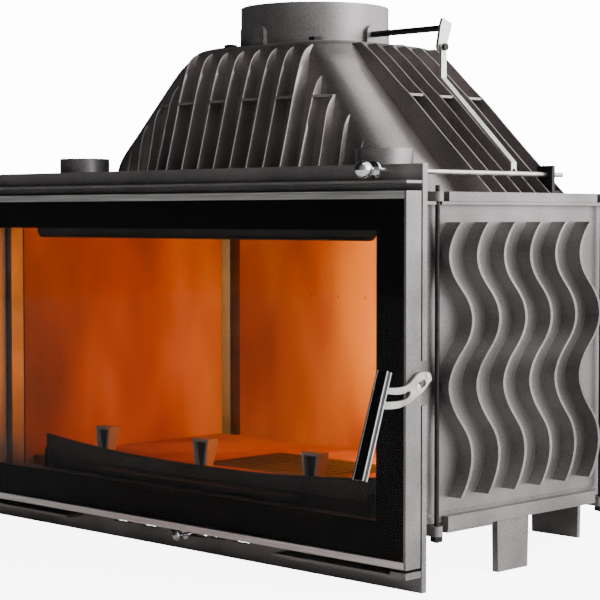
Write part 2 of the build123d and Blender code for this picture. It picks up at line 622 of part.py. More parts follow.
grate = block(
    -GRATE_X + SEAM, GRATE_X - SEAM, GRATE_Y[0] + SEAM, GRATE_Y[1] - SEAM, HEARTH_Z - GRATE_T, HEARTH_Z
)
for k in range(-5, 6):
    x = 18.0 * k
    grate -= block(x - 4.0, x + 4.0, GRATE_Y[0] + 16, GRATE_Y[1] - 16, HEARTH_Z - 10, HEARTH_Z + 1)
save(grate, "grate")
BAFFLE_Y = (165.0, BACK_Y - WALL - SEAM)
baffle_half = [
    (IN_X - SEAM, BAFFLE_Y[0]), (IN_X - SEAM, IN_CORNER),
    (IN_X - SEAM + IN_CORNER - BAFFLE_Y[1], BAFFLE_Y[1]),
]
baffle = prism("z", whole_outline(baffle_half), LINING_TOP, LINING_TOP + 6.0)
save(baffle, "baffle_plate")

# Log retainer, with a dipped top edge, a front lip and three posts behind it
RETAINER_X = MOUTH_X - 37.0
RETAINER_Y = (31.0, 35.0)
dip = [(-RETAINER_X, 117.5), (-RETAINER_X + 51.0, 112.5), (-POST_X, 107.5), (-100.0, 103.6), (0.0, 102.5)]
dip += [(-x, z) for x, z in reversed(dip[:-1])]
retainer = curved_prism("y", dip, [(RETAINER_X, FLOOR_Z), (-RETAINER_X, FLOOR_Z)], *RETAINER_Y)
retainer = retainer.fuse(block(-POST_X + 4.0, POST_X - 4.0, 9.0, RETAINER_Y[0], HEARTH_Z - 3.5, HEARTH_Z))
ribs = []
for x in (RETAINER_X - 1.5, RETAINER_X - 8.5, RETAINER_X - 14.0):
    ribs += both(block(x - 1.0, x + 1.0, RETAINER_Y[0] - 4.0, RETAINER_Y[0], FLOOR_Z, 98.0))
retainer = retainer.fuse(*ribs)
save(retainer, "log_retainer")


def post(x):
    """Wedge-shaped post with a hollow face."""
    front = [(x - 9.0, HEARTH_Z), (x + 9.0, HEARTH_Z), (x + 14.8, 135.5), (x - 14.8, 135.5)]
    body = prism("y", front, RETAINER_Y[1] + 1.0, 54.0)
    body -= prism("x", [(44.0, HEARTH_Z - 1), (56.0, HEARTH_Z - 1), (56.0, 136.0)], x - 20, x + 20)
    inner = [(x - 4.6, 96.0), (x + 4.6, 96.0), (x + 10.4, 131.5), (x - 10.4, 131.5)]
    return body - prism("y", inner, 35.0, 40.5)


save(group([post(x) for x in (-POST_X, 0.0, POST_X)]), "log_posts")

# Air-wash bar across the top of the opening
WASH_X = MOUTH_X - 33.0
WASH_Z0 = MOUTH_Z1 - 17.0
bar = block(-WASH_X, WASH_X, JAMB_Y, JAMB_Y + 3.5, WASH_Z0, MOUTH_Z1 + 8.0)
bar = fillet(bar.edges().filter_by(Axis.Y).group_by(Axis.Z)[0], 11.0)
bead = block(-WASH_X + 12.0, WASH_X - 12.0, JAMB_Y - 2.5, JAMB_Y, WASH_Z0, WASH_Z0 + 2.6)
save(bar.fuse(bead), "air_wash_bar")

# Door frame
side_rims = both(block(DOOR_X - RIM_T, DOOR_X, DOOR_FRONT, DOOR_BACK, DOOR_Z0, DOOR_Z1))
WEB_Y = (DOOR_FRONT + 5.3, DOOR_FRONT + 5.3 + WEB_T)
FRAME_IN = (CLEAR_X + FRAME_EDGE, CLEAR_Z[0] - FRAME_EDGE, CLEAR_Z[1] + FRAME_EDGE)
web = ring_xz(-INSIDE, INSIDE, DOOR_Z0, DOOR_Z1, FRAME_IN, *WEB_Y)


def door_ring(half_x, z0, z1, t, y0, y1):
    """Frame of wall thickness t whose outside is the given rectangle."""
    return ring_xz(-half_x, half_x, z0, z1, (half_x - t, z0 + t, z1 - t), y0, y1)


outer_rim = door_ring(INSIDE + RIM_T, DOOR_Z0, DOOR_Z1, RIM_T, WEB_Y[0], DOOR_BACK)
inner_rim = door_ring(
    FRAME_IN[0] + INNER_RIM_T, FRAME_IN[1] - INNER_RIM_T, FRAME_IN[2] + INNER_RIM_T, INNER_RIM_T,
    WEB_Y[0], DOOR_BACK,
)
seal_rim = door_ring(
    SEAL_X + 3.5, SEAL_Z[0] - 3.5, SEAL_Z[1] + 3.5, INNER_RIM_T, WEB_Y[0], DOOR_BACK
)
seal_floor = door_ring(SEAL_X + 1.5, SEAL_Z[0] - 1.0, SEAL_Z[1] + 1.0, 15.0, -SEAL_T - 2.0, -SEAL_T)
door_frame = web.fuse(*side_rims, outer_rim, inner_rim, seal_rim, seal_floor)
for z in (DOOR_Z0 - 1, DOOR_Z1 - RIM_T - 1):
    door_frame -= rod("z", HINGE_R + 0.5, z, z + RIM_T + 2, (HINGE_X, HINGE_Y))
corner = block(-DOOR_X - 1, HINGE_X, HINGE_Y, 0.0, DOOR_Z0 - 1, DOOR_Z1 + 1)
door_frame -= corner - rod("z", -HINGE_Y - SWING_GAP, DOOR_Z0 - 2, DOOR_Z1 + 2, (HINGE_X, HINGE_Y))
door_frame -= rod("x", SCREW_R, INSIDE - 1, DOOR_X + 1, PIVOT)
save(door_frame, "door_frame")

seal_inner = (SEAL_X - SEAL_W, SEAL_Z[0] + SEAL_W, SEAL_Z[1] - SEAL_W)
seal = ring_xz(-SEAL_X, SEAL_X, *SEAL_Z, seal_inner, -SEAL_T, 0.0)
save(seal, "door_seal")

blocks = []
for z0, z1 in ((DOOR_Z0 + RIM_T, DOOR_Z0 + 23.1), (DOOR_Z1 - 23.3, DOOR_Z1 - RIM_T)):
    part = block(-INSIDE, HINGE_X + HINGE_BLOCK_X, WEB_Y[1], -5.0, z0, z1)
    blocks.append(part - rod("z", HINGE_R + RUN, z0 - 1, z1 + 1, (HINGE_X, HINGE_Y)))
save(group(blocks), "hinge_blocks")
LEDGE_Z = DOOR_Z1 + 11.4
low_pin = rod("z", HINGE_R, DOOR_Z0 - 13.4, DOOR_Z0 + 19.1, (HINGE_X, HINGE_Y))
high_pin = rod("z", HINGE_R, DOOR_Z1 - 19.8, LEDGE_Z, (HINGE_X, HINGE_Y))
high_pin = high_pin.fuse(rod("z", HINGE_R + 3.0, LEDGE_Z, LEDGE_Z + 2.8, (HINGE_X, HINGE_Y)))
save(group([low_pin, high_pin]), "hinge_pins")
washer = rod("z", HINGE_R + 4.5, DOOR_Z0 - 3.4, DOOR_Z0, (HINGE_X, HINGE_Y))
washer -= rod("z", HINGE_R, DOOR_Z0 - 5, DOOR_Z0 + 1, (HINGE_X, HINGE_Y))
save(washer, "hinge_washer")

strips = [
    block(-INSIDE, INSIDE, DOOR_FRONT, WEB_Y[0], DOOR_Z1 - STRIP_H, DOOR_Z1),
    block(-INSIDE, INSIDE, DOOR_FRONT, WEB_Y[0], DOOR_Z0, DOOR_Z0 + STRIP_H),
]
save(strips[0], "top_strip")
save(strips[1], "bottom_strip")

GLASS = (INSIDE - GLASS_GAP, DOOR_Z0 + STRIP_H + GLASS_GAP, DOOR_Z1 - STRIP_H - GLASS_GAP)
GLASS_Y = (DOOR_FRONT + GLASS_GAP, DOOR_FRONT + GLASS_GAP + GLASS_T)
save(block(-GLASS[0], GLASS[0], *GLASS_Y, GLASS[1], GLASS[2]), "door_glass")
border = ring_xz(
    -GLASS[0], GLASS[0], GLASS[1], GLASS[2], (CLEAR_X, *CLEAR_Z), GLASS_Y[1], GLASS_Y[1] + PRINT_T
)
save(border, "glass_border")
gasket_inner = (CLEAR_X + 9.0, CLEAR_Z[0] - 9.0, CLEAR_Z[1] + 9.0)
gasket_x = GLASS[0] - 3.6
gasket_y = (GLASS_Y[1] + PRINT_T, WEB_Y[0])
gasket = ring_xz(-gasket_x, gasket_x, GLASS[1] + 3.1, GLASS[2] - 2.8, gasket_inner, *gasket_y)
save(gasket, "glass_gasket")

# Handle: a lever at the door's edge with a leaning bar
LEVER = [
    (-70.0, 234.0), (-58.5, 233.8), (-50.8, 233.2), (-42.7, 232.9), (-34.5, 233.7), (-29.6, 234.8),
    (-24.6, 236.9), (-20.5, 240.1), (-16.3, 243.2), (-13.0, 245.5), (-8.8, 247.3), (-4.6, 247.9),
    (0.4, 247.9), (5.0, 247.4), (8.6, 245.2), (9.9, 241.6), (10.6, 238.2), (5.5, 234.6),
    (2.2, 231.0), (-2.9, 226.9), (-7.9, 223.9), (-14.6, 221.0), (-21.2, 217.6), (-27.8, 214.8),
    (-34.4, 212.8), (-42.6, 210.9), (-50.8, 210.5), (-58.9, 210.7), (-70.0, 211.5), (-78.0, 212.5),
    (-75.5, 219.6), (-63.7, 219.0), (-55.7, 218.4), (-45.9, 218.3), (-37.7, 218.8), (-31.1, 220.0),
    (-26.2, 222.9), (-24.6, 226.7), (-26.2, 228.4), (-29.5, 227.8), (-34.5, 226.2), (-42.7, 225.5),
    (-50.8, 225.9), (-59.7, 227.2), (-72.5, 228.0),
]
lever = prism("x", LEVER, *LEVER_X)
PIVOT_R = 3.8
SLOT_R = PIVOT_R + RUN
slot_ends = [PIVOT, (-3.4, 235.6)]
slot = fuse([rod("x", SLOT_R, LEVER_X[0] - 1, LEVER_X[1] + 1, p) for p in slot_ends])
(y0, z0), (y1, z1) = slot_ends
length = ((y1 - y0) ** 2 + (z1 - z0) ** 2) ** 0.5
ny, nz = -(z1 - z0) / length * SLOT_R, (y1 - y0) / length * SLOT_R
slot = slot.fuse(
    prism(
        "x",
        [(y0 + ny, z0 + nz), (y1 + ny, z1 + nz), (y1 - ny, z1 - nz), (y0 - ny, z0 - nz)],
        LEVER_X[0] - 1,
        LEVER_X[1] + 1,
    )
)
lever -= slot
lever -= rod("x", LATCH_PIN_R, LEVER_X[0] - 1, LEVER_X[1] + 1, LATCH_PIN)
save(rod("x", LATCH_PIN_R, LATCH_X + 3.5, LEVER_X[1] + 0.6, LATCH_PIN), "latch_pin")
post_pin = rod("x", PIVOT_R, DOOR_X, LEVER_X[1] + 0.6, PIVOT)
post_pin = post_pin.fuse(rod("x", SCREW_R, INSIDE, DOOR_X, PIVOT))
save(post_pin, "handle_pivot")


def on_bar(shape):
    """Place a shape drawn hanging straight down from the bar's top middle."""
    return Pos(0, *BAR_TOP) * Rot(-BAR_TILT, 0, 0) * shape


PROUD = BAR_T / 2 + TRIM_PROUD
core = block(BAR_X[0] + 0.6, BAR_X[1] - 0.6, -BAR_T / 2, BAR_T / 2, -BAR_L, 0)
trims = []
for side in (0, 1):
    x = BAR_X[side]
    inward = 1 if side == 0 else -1
    for y0, y1 in ((-PROUD, -BAR_T / 2 + TRIM), (BAR_T / 2 - TRIM, PROUD)):
        xs = sorted((x, x + inward * 2.0))
        trims.append(block(*xs, y0, y1, -BAR_L, 0))
for trim in trims:
    core -= trim
save(on_bar(core), "handle_bar")
save(lever - on_bar(block(*BAR_X, -PROUD, PROUD, -BAR_L, 0)), "handle_lever")
save(group([on_bar(t) for t in trims]), "handle_trims")
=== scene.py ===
"""Looks of a cast-iron fireplace insert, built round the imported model.

The scene is in metres, and shapes are worked out in millimetres. X runs across the front, Y towards the
back and Z up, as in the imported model.
"""

import json
from math import radians

import bmesh
import bpy
import numpy as np
from mathutils import Euler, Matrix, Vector


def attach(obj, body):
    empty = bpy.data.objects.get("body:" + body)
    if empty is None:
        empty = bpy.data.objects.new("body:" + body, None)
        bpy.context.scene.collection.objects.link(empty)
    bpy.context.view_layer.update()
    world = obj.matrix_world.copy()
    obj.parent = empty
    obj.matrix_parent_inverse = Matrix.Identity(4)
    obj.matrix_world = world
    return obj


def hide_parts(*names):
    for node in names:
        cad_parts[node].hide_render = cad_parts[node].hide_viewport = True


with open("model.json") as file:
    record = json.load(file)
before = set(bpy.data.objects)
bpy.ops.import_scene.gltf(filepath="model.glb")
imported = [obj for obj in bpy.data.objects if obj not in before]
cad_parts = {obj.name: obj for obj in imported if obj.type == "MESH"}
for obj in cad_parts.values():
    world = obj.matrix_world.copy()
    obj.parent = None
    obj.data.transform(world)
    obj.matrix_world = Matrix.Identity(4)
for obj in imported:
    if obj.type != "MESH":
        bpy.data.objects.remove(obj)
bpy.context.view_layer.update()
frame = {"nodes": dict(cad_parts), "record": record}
scene = bpy.context.scene

MM = 0.001
FRONT_MM = -158.0       # depth of the front plate's front face
FLUE_MM = 245.3         # how far behind that face the flue's middle is
FRONT = FRONT_MM * MM
FLUE_Y = FRONT_MM + FLUE_MM


# Camera: at the photograph's viewing angle, turned left and tipped down by these degrees
YAW, PITCH = 44.77, 2.59
LENS, FILM = 111.22, 36.0
camera_data = bpy.data.cameras.new("camera")
camera_data.lens = LENS
camera_data.sensor_width = FILM
camera = bpy.data.objects.new("camera", camera_data)
camera.location = (1.75042, -1.54748 + FRONT, 0.4197)
camera.rotation_euler = Euler((radians(90.0 - PITCH), 0.0, radians(YAW)))
scene.collection.objects.link(camera)
scene.camera = camera


# Materials
MIDDLE = {"From Min": 0.3, "From Max": 0.7}     # most of a noise pattern lies between these


def colour(code):
    """Linear colour of an sRGB hex value."""
    raw = [int(code[i:i + 2], 16) / 255 for i in (1, 3, 5)]
    return tuple(c / 12.92 if c <= 0.04045 else ((c + 0.055) / 1.055) ** 2.4 for c in raw) + (1.0,)


def per_mm(size):
    """Scale of a pattern in metres whose detail is size mm across."""
    return 1000.0 / size


def wire(tree, node, **sources):
    """Links outputs to a node's sockets: i0, i1 and so on by number, the rest by name, _ for a space."""
    for key, source in sources.items():
        socket = int(key[1:]) if key[1:].isdigit() else key.replace("_", " ")
        tree.links.new(source, node.inputs[socket])


def add(tree, kind, settings=None, out=0, **sources):
    """Adds a node, sets its properties, sockets and colour stops, wires it, and gives one output."""
    made = tree.nodes.new("ShaderNode" + kind)
    for name, value in (settings or {}).items():
        if name == "stops":
            band = made.color_ramp.elements
            while len(band) < len(value):
                band.new(0.5)
            for element, (place, code) in zip(band, value):
                element.position = place
                element.color = colour(code)
        elif isinstance(name, int) or name in made.inputs:
            made.inputs[name].default_value = value
        else:
            setattr(made, name, value)
    wire(tree, made, **sources)
    return made.outputs[out]


def material(name, **sockets):
    """A material with a principled shader. Values whose names hold an underscore use it for a space."""
    made = bpy.data.materials.new(name)
    made.use_nodes = True
    shader = made.node_tree.nodes["Principled BSDF"]
    for key, value in sockets.items():
        shader.inputs[key.replace("_", " ")].default_value = value
    return made, made.node_tree, shader


def sand_cast(name, dark, light, metallic=0.85, rough=(0.34, 0.5)):
    """Grey cast iron under graphite paint: the mould's sand leaves a fine grain that breaks up the sheen.

    The real grain is about 0.5 mm and wouldn't show, so it is drawn about 2 mm across, under clouds of
    tone 90 mm across.
    """
    made, tree, shader = material(name, Metallic=metallic)
    where = add(tree, "TexCoord", out="Object")
    sand = add(tree, "TexNoise", {"Scale": per_mm(2.2), "Detail": 3.0, "Roughness": 0.62}, Vector=where)
    cloud = add(tree, "TexNoise", {"Scale": per_mm(90.0), "Detail": 2.0, "Roughness": 0.5}, Vector=where)
    patch = add(tree, "MapRange", {**MIDDLE, "To Min": 0.0, "To Max": 0.3}, Value=cloud)
    mixed = add(tree, "Math", {"operation": "MULTIPLY_ADD", 1: 0.7}, i0=sand, i2=patch)
    wire(
        tree, shader,
        Base_Color=add(tree, "ValToRGB", {"stops": [(0.3, dark), (0.72, light)]}, Fac=mixed),
        Roughness=add(tree, "MapRange", {**MIDDLE, "To Min": rough[0], "To Max": rough[1]}, Value=sand),
        Normal=add(tree, "Bump", {"Distance": 0.2 * MM, "Strength": 0.5}, Height=sand),
    )
    return made


def brushed(name, dark, light, along):
    """Steel brushed along one axis: long fine scratches, drawn 0.8 mm apart so that they show."""
    made, tree, shader = material(name, Metallic=1.0)
    stretch = tuple(0.01 if axis == along else 1.0 for axis in "xyz")
    where = add(tree, "Mapping", {"Scale": stretch}, Vector=add(tree, "TexCoord", out="Object"))
    scratch = add(tree, "TexNoise", {"Scale": per_mm(0.8), "Detail": 2.0, "Roughness": 0.5}, Vector=where)
    wire(
        tree, shader,
        Base_Color=add(tree, "ValToRGB", {"stops": [(0.3, dark), (0.7, light)]}, Fac=scratch),
        Roughness=add(tree, "MapRange", {**MIDDLE, "To Min": 0.28, "To Max": 0.42}, Value=scratch),
        Normal=add(tree, "Bump", {"Distance": 0.05 * MM, "Strength": 0.3}, Height=scratch),
    )
    return made


def smooth_metal(name, dark, light, rough, metallic=1.0):
    """Plated or polished metal: an even surface with faint cloudy patches 14 mm across."""
    made, tree, shader = material(name, Metallic=metallic)
    where = add(tree, "TexCoord", out="Object")
    cloud = add(tree, "TexNoise", {"Scale": per_mm(14.0), "Detail": 4.0, "Roughness": 0.6}, Vector=where)
    wire(
        tree, shader,
        Base_Color=add(tree, "ValToRGB", {"stops": [(0.3, dark), (0.7, light)]}, Fac=cloud),
        Roughness=add(tree, "MapRange", {**MIDDLE, "To Min": rough[0], "To Max": rough[1]}, Value=cloud),
        Normal=add(tree, "Bump", {"Distance": 0.02 * MM, "Strength": 0.2}, Height=cloud),
    )
    return made


def lacquer(name, dark, light, rough, coat, peel_mm=0.02, **sockets):
    """Paint or enamel, glossier under a clear coat; the orange peel is drawn 4 mm across."""
    made, tree, shader = material(name, Coat_Weight=coat, Coat_Roughness=0.08, **sockets)
    where = add(tree, "TexCoord", out="Object")
    peel = add(tree, "TexNoise", {"Scale": per_mm(4.0), "Detail": 2.0, "Roughness": 0.5}, Vector=where)
    wire(
        tree, shader,
        Base_Color=add(tree, "ValToRGB", {"stops": [(0.3, dark), (0.7, light)]}, Fac=peel),
        Roughness=add(tree, "MapRange", {**MIDDLE, "To Min": rough[0], "To Max": rough[1]}, Value=peel),
        Normal=add(tree, "Bump", {"Distance": peel_mm * MM, "Strength": 0.2}, Height=peel),
    )
    return made


def fired_clay(name, pale, mid, sooty):
    """Pressed firebrick: a dry tan body with 3 mm grit, browned by smoke in wide soft clouds."""
    made, tree, shader = material(name, Metallic=0.0)
    where = add(tree, "TexCoord", out="Object")
    drawn_up = add(tree, "Mapping", {"Scale": (1.0, 1.0, 0.4)}, Vector=where)
    soot = add(tree, "TexNoise", {"Scale": per_mm(260.0), "Detail": 3.0, "Roughness": 0.55}, Vector=drawn_up)
    grit = add(tree, "TexNoise", {"Scale": per_mm(3.0), "Detail": 3.0, "Roughness": 0.6}, Vector=where)
    smoke = add(tree, "MapRange", {**MIDDLE, "To Min": 0.1, "To Max": 0.85}, Value=soot)
    mixed = add(tree, "Math", {"operation": "MULTIPLY_ADD", 1: 0.25}, i0=grit, i2=smoke)
    stops = [(0.25, sooty), (0.55, mid), (0.85, pale)]
    wire(
        tree, shader,
        Base_Color=add(tree, "ValToRGB", {"stops": stops}, Fac=mixed),
        Roughness=add(tree, "MapRange", {**MIDDLE, "To Min": 0.55, "To Max": 0.8}, Value=grit),
        Normal=add(tree, "Bump", {"Distance": 0.3 * MM, "Strength": 0.4}, Height=grit),
    )
    return made


def fibre_rope(name, dark, light):
    """Braided glass fibre: the strands cross every 3 mm."""
    made, tree, shader = material(name, Roughness=0.95)
    where = add(tree, "TexCoord", out="Object")
    strand = add(tree, "TexWave", {"Scale": per_mm(3.0) / 6.28, "Distortion": 2.0}, "Fac", Vector=where)
    wire(
        tree, shader,
        Base_Color=add(tree, "ValToRGB", {"stops": [(0.2, dark), (0.8, light)]}, Fac=strand),
        Normal=add(tree, "Bump", {"Distance": 0.6 * MM, "Strength": 0.6}, Height=strand),
    )
    return made


def stove_glass(name):
    """Clear glass ceramic: it lets nearly all light through, with faint smears of a wiping cloth."""
    made, tree, shader = material(name, Base_Color=colour("#1c1c1c"), Metallic=0.0, Alpha=0.1)
    where = add(tree, "Mapping", {"Scale": (1.0, 1.0, 0.3)}, Vector=add(tree, "TexCoord", out="Object"))
    smear = add(tree, "TexNoise", {"Scale": per_mm(40.0), "Detail": 4.0, "Roughness": 0.6}, Vector=where)
    rough = add(tree, "MapRange", {**MIDDLE, "To Min": 0.02, "To Max": 0.06}, Value=smear)
    wire(tree, shader, Roughness=rough)
    return made


GRAPHITE = sand_cast("graphite_painted_cast_iron", "#6a6766", "#989594")
# The hood's copy of the graphite paint, drawn lighter than the body's: painted light on the hood.
LIT_HOOD_IRON = sand_cast("hood_graphite_with_painted_light", "#7b7474", "#a8a1a0", rough=(0.33, 0.47))
SOOTED = sand_cast("sooted_cast_iron", "#1d1b1a", "#3a3634", metallic=0.2, rough=(0.55, 0.75))
SCALES = sand_cast("worn_scale_pattern", "#241f1c", "#4a4440", metallic=0.4, rough=(0.35, 0.5))
# Near-black matt iron for the floors of the posts' hollows: painted shade.
HOLLOW_SHADE_IRON = sand_cast("painted_shade_post_hollow", "#0a0908", "#14110f", metallic=0.0, rough=(0.7, 0.9))
# The log posts' iron, paler than the retainer's.
POST_IRON = sand_cast("pale_post_iron", "#6a625c", "#978f88", metallic=0.6)
BRIGHT_STRIP = brushed("brushed_steel_strip", "#b4b2b0", "#e4e2e0", "x")
CHROME = smooth_metal("polished_chrome", "#c8c8ca", "#e6e6e8", (0.05, 0.12))
ZINC = smooth_metal("zinc_plated_steel", "#c2c0ba", "#e8e6e0", (0.25, 0.45))
LEVER_STEEL = smooth_metal("satin_lever_steel", "#a09d9a", "#c9c6c3", (0.3, 0.42), metallic=0.8)
BLACK_STEEL = smooth_metal("blackened_steel", "#121111", "#2c2a29", (0.35, 0.5), metallic=0.5)
LACQUER = lacquer("black_lacquer", "#070708", "#121213", (0.15, 0.22), 0.6)
ENAMEL = lacquer(
    "black_glass_enamel", "#010101", "#020202", (0.45, 0.5), 0.0, peel_mm=0.001, Specular_IOR_Level=0.1,
)
CLAY = fired_clay("smoked_firebrick", "#c88a50", "#9c5426", "#5c2a10")
ROPE = fibre_rope("glass_fibre_rope", "#3c3a38", "#7a7672")
GLASS = stove_glass("clear_glass_ceramic")


# Pieces
ROUND_ABOVE = radians(28.0)     # a copy's edges sharper than this stay hard and get a round
ROUND_STEPS = 2
MERGE_MM = 0.004                # corners this near each other are one
SAME_PLANE = radians(0.4)       # faces that meet at less than this become one
HARD_EDGE, FIN_EDGE = radians(60.0), radians(50.0)      # the same limit for the pieces made here
BODY_OF = {n: b for b, ns in frame["record"]["behaviour"]["bodies"].items() for n in ns}
SLOT_OF = {s["node"]: s["material_slot"] for s in frame["record"]["subparts"]}


def new_piece(name, mesh, body, finish, slot, *nodes):
    """Puts a mesh in the scene, hangs it on its body, gives it its finish and hides the nodes it stands for.
    """
    piece = bpy.data.objects.new(name, mesh)
    scene.collection.objects.link(piece)
    mesh.materials.clear()
    mesh.materials.append(finish)
    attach(piece, body)
    if nodes:
        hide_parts(*nodes)
    return piece


def mark_edges(mesh, angle):
    """Smooth shading, with edges sharper than angle kept hard."""
    form = bmesh.new()
    form.from_mesh(mesh)
    for face in form.faces:
        face.smooth = True
    for edge in form.edges:
        edge.smooth = edge.is_manifold and edge.calc_face_angle(0.0) < angle
    form.to_mesh(mesh)
    form.free()


def cast_copy(node, finish, round_mm):
    """A merged copy of a node's mesh whose hard edges get a small round, as a casting's or a cut edge's."""
    name = node + "_finished"
    mesh = frame["nodes"][node].data.copy()
    form = bmesh.new()
    form.from_mesh(mesh)
    bmesh.ops.remove_doubles(form, verts=form.verts, dist=MERGE_MM * MM)
    bmesh.ops.dissolve_limit(form, angle_limit=SAME_PLANE, verts=form.verts, edges=form.edges)
    form.to_mesh(mesh)
    form.free()
    mesh.name = name
    mark_edges(mesh, ROUND_ABOVE)
    piece = new_piece(name, mesh, BODY_OF[node], finish, SLOT_OF[node], node)
    if round_mm:
        edge = piece.modifiers.new("edge", "BEVEL")
        edge.width = round_mm * MM
        edge.segments = ROUND_STEPS
        edge.limit_method = "ANGLE"
        edge.angle_limit = ROUND_ABOVE
        edge.harden_normals = True
        edge.use_clamp_overlap = True


# Each node's finish, and the round on its hard edges in mm
for name, finish, round_mm in (
    ("front_plate", GRAPHITE, 0.8), ("air_skirt", GRAPHITE, 0.8), ("base_plate", GRAPHITE, 0.9),
    ("top_plate", GRAPHITE, 0.9), ("right_wall", GRAPHITE, 0.7), ("left_wall", GRAPHITE, 0.7),
    ("back_wall", GRAPHITE, 1.0), ("front_feet", GRAPHITE, 0.7), ("rear_feet", GRAPHITE, 0.7),
    ("flue_collar", GRAPHITE, 1.0), ("right_spigot", GRAPHITE, 0.8), ("left_spigot", GRAPHITE, 0.8),
    ("log_posts", POST_IRON, 0.7), ("log_retainer", SOOTED, 0.6), ("air_wash_bar", SOOTED, 0.6),
    ("grate", SOOTED, 0.6), ("door_frame", GRAPHITE, 0.8),
    ("top_strip", BRIGHT_STRIP, 0.5), ("bottom_strip", BRIGHT_STRIP, 0.5), ("handle_lever", LEVER_STEEL, 0.3),
    ("handle_bar", LACQUER, 0.5), ("handle_trims", CHROME, 0.3), ("damper_crank", ZINC, 0.4),
    ("damper_link", ZINC, 0.4), ("collar_bolts", BLACK_STEEL, 0.6), ("tie_nuts", BLACK_STEEL, 0.5),
    ("tie_rods", BLACK_STEEL, 0.3), ("rod_guide", BLACK_STEEL, 0.5), ("air_shutter", ZINC, 0.2),
    ("shutter_rails", BLACK_STEEL, 0.3), ("hearth_slab", CLAY, 1.5), ("baffle_plate", CLAY, 1.0),
    ("right_lining", CLAY, 1.2), ("left_lining", CLAY, 1.2), ("back_lining", CLAY, 1.0),
    ("hinge_blocks", BLACK_STEEL, 0.4), ("latch_pin", ZINC, 0.3), ("handle_pivot", ZINC, 0.4),
    ("door_glass", GLASS, 0.3), ("air_knob", CHROME, 0.0), ("pull_knob", CHROME, 0.0),
    ("pull_rod", ZINC, 0.3), ("damper_shaft", BLACK_STEEL, 0.0), ("damper_disc", GRAPHITE, 0.4),
    ("crank_pin", BLACK_STEEL, 0.3), ("hinge_pins", BLACK_STEEL, 0.3), ("hinge_washer", ZINC, 0.3),
    ("door_seal", ROPE, 1.5), ("glass_gasket", ROPE, 0.0), ("glass_border", ENAMEL, 0.0),
):
    cast_copy(name, finish, round_mm)


# Hood: a smooth hollow casting and its fins
HOOD_WALL = 7.0
HOOD_STEPS, CORNER_STEPS = 90, 22       # points up the hood and round each corner
# Height, half width, half depth and corner radius of the hood; the last two rows turn in to the flue
HOOD_ROWS = np.array([
    (447.5, 313.0, 152.0, 100.0), (473.7, 288.7, 147.2, 75.0), (500.0, 264.3, 142.3, 50.0),
    (533.0, 233.6, 136.2, 44.7), (566.0, 203.0, 130.2, 39.3), (599.0, 172.3, 124.1, 34.0),
    (618.0, 156.5, 121.0, 38.0), (631.0, 144.8, 118.6, 48.0), (639.0, 136.5, 115.5, 52.0),
    (643.2, 126.0, 107.0, 58.0), (643.4, 112.0, 103.0, 80.0), (643.4, 99.5, 99.5, 99.4),
])


def through(rows, count):
    """Catmull-Rom curve through rows, sampled evenly along the rows' joined length."""
    rows = np.asarray(rows, float)
    padded = np.vstack([2 * rows[0] - rows[1], rows, 2 * rows[-1] - rows[-2]])
    steps = np.concatenate([[0.0], np.cumsum(np.linalg.norm(np.diff(rows, axis=0), axis=1))])
    want = np.linspace(0.0, steps[-1], count)
    k = np.clip(np.searchsorted(steps, want, side="right") - 1, 0, len(rows) - 2)
    t = ((want - steps[k]) / (steps[k + 1] - steps[k]))[:, None]
    a, b, c, d = (padded[k + i] for i in range(4))
    bend = (2 * a - 5 * b + 4 * c - d) * t ** 2 + (3 * b - a - 3 * c + d) * t ** 3
    return 0.5 * (2 * b + (c - a) * t + bend)


def grid_faces(rows, columns, wrap):
    """Quads of a grid of points, row by row; wrap joins the last column to the first."""
    i = np.arange(rows - 1)[:, None]
    j = np.arange(columns if wrap else columns - 1)[None, :]
    k = (j + 1) % columns
    quads = np.stack([i * columns + j, i * columns + k, (i + 1) * columns + k, (i + 1) * columns + j], -1)
    return quads.reshape(-1, 4)


def to_mesh(name, points, faces):
    mesh = bpy.data.meshes.new(name)
    mesh.from_pydata(points.reshape(-1, 3).tolist(), [], faces.tolist())
    mesh.update()
    return mesh


def rounded_ring(w, d, r, count):
    """Points round a rectangle of half sizes w and d whose corners have radius r.

    The angle runs evenly round each corner's quarter circle, and the straight sides join the quarters,
    with their own evenly spaced points.
    """
    quarter = np.linspace(0.0, np.pi / 2, count)
    side = np.linspace(0.0, 1.0, count)[1:-1]
    points = []
    for q, (sx, sy) in enumerate([(1, 1), (-1, 1), (-1, -1), (1, -1)]):
        angle = quarter + q * np.pi / 2
        x = sx * (w - r)[:, None] + r[:, None] * np.cos(angle)
        y = sy * (d - r)[:, None] + r[:, None] * np.sin(angle)
        points.append(np.stack([x, y], -1))
    joined = []
    for q in range(4):
        a, b = points[q][:, -1:], points[(q + 1) % 4][:, :1]
        joined += [points[q], a + (b - a) * side[None, :, None]]
    return np.concatenate(joined, axis=1)


def hood_shell():
    """A wall round a stack of rounded rectangles that ends in the round flue opening."""
    rows = through(HOOD_ROWS, HOOD_STEPS)
    ring = rounded_ring(rows[:, 1], rows[:, 2], rows[:, 3], CORNER_STEPS)
    height = np.repeat(rows[:, 0][:, None], ring.shape[1], axis=1)
    points = np.stack([ring[..., 0], ring[..., 1] + FLUE_Y, height], -1) * MM
    mesh = to_mesh("hood_shell", points, grid_faces(*ring.shape[:2], True))
    mark_edges(mesh, HARD_EDGE)
    piece = new_piece("hood_shell", mesh, "body", LIT_HOOD_IRON, SLOT_OF["hood"], "hood")
    wall = piece.modifiers.new("wall", "SOLIDIFY")
    wall.thickness = HOOD_WALL * MM
    wall.offset = -1.0


